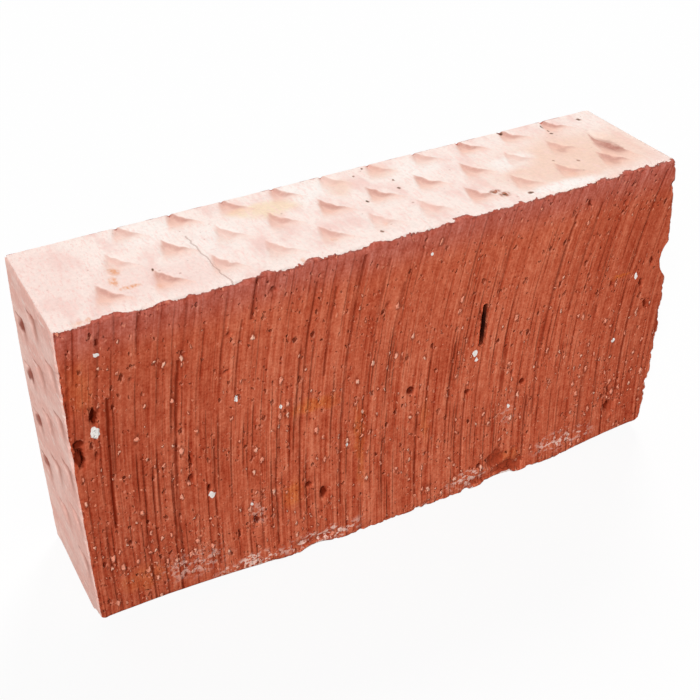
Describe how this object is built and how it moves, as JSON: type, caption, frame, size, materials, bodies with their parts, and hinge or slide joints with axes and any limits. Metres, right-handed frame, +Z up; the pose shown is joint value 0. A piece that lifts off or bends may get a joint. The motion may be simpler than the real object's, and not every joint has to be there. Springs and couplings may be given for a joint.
{
  "type": "wire-cut clay brick",
  "caption": "Solid fired-clay building brick with wire-cut red bed faces, pale roller-dented die-skin sides and ends, and chipped front arrises.",
  "frame": {"origin": "middle of the underside, on the floor that the brick stands on", "axes": "+X along the brick's length, +Y through its thickness from the front bed to the back bed, +Z up"},
  "size_m": [0.24, 0.055, 0.123],
  "materials": {
    "fired_clay": "dry matt fired clay, red wire-cut body with a pale pink die skin"
  },
  "bodies": {
    "root": {"brick": "fired_clay"}
  },
  "joints": []
}
